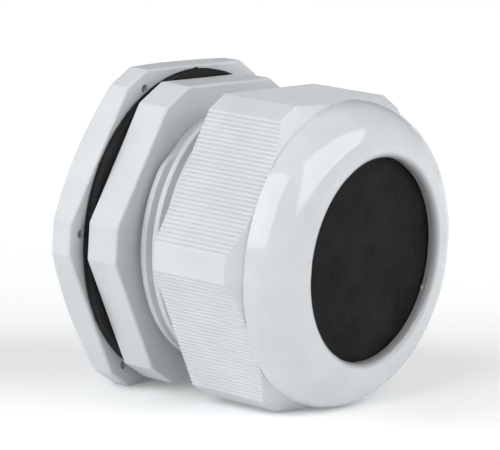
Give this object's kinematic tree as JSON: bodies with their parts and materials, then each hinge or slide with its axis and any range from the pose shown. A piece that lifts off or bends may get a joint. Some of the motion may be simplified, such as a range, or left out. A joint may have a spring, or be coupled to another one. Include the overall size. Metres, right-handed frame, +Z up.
{
  "type": "cable gland",
  "caption": "Large plastic cable gland: domed ribbed cap nut on a threaded hexagonal body with claws and seal, dust disc in the mouth, flat gasket and lock nut.",
  "frame": {"origin": "on the cable axis, halfway between the spigot's free end and the crest of the cap nut's dome", "axes": "+X along the cable axis, out of the cap nut's mouth; +Z up through a flat of the hexagons; +Y through a corner of the hexagons"},
  "size_m": [0.0626, 0.0764, 0.0696],
  "materials": {
    "grey_polyamide": "fine satin moulding, light cool grey",
    "polished_polyamide": "glossy dome and rim, satin ribbed flats, light cool grey",
    "seal_rubber": "matte black",
    "disc_rubber": "matte black with faint speckle",
    "gasket_rubber": "black with a slight sheen"
  },
  "bodies": {
    "gland_body": {"gland_body": "grey_polyamide", "sealing_insert": "seal_rubber"},
    "dust_disc": {"dust_disc": "disc_rubber"},
    "cap_nut": {"cap_nut": "polished_polyamide"},
    "panel_gasket": {"panel_gasket": "gasket_rubber"},
    "lock_nut": {"lock_nut": "grey_polyamide"}
  },
  "joints": [
    {"name": "cap_nut_travel", "type": "slide", "parent": "gland_body", "child": "dust_disc", "axis": [1, 0, 0], "range_m": [-0.006, 0.0075]},
    {"name": "cap_nut_turn", "type": "hinge", "parent": "dust_disc", "child": "cap_nut", "pos_m": [0, 0, 0], "axis": [1, 0, 0], "range_deg": [-720, 900]},
    {"name": "lock_nut_travel", "type": "slide", "parent": "gland_body", "child": "panel_gasket", "axis": [1, 0, 0], "range_m": [-0.0108, 0]},
    {"name": "lock_nut_turn", "type": "hinge", "parent": "panel_gasket", "child": "lock_nut", "pos_m": [-0.025, 0, 0], "axis": [1, 0, 0], "range_deg": [-2448, 0]}
  ],
  "couplings": [
    {"joint": "cap_nut_travel", "follows": "cap_nut_turn", "m_per_rad": 0.00047746},
    {"joint": "lock_nut_travel", "follows": "lock_nut_turn", "m_per_rad": 0.00025266}
  ]
}
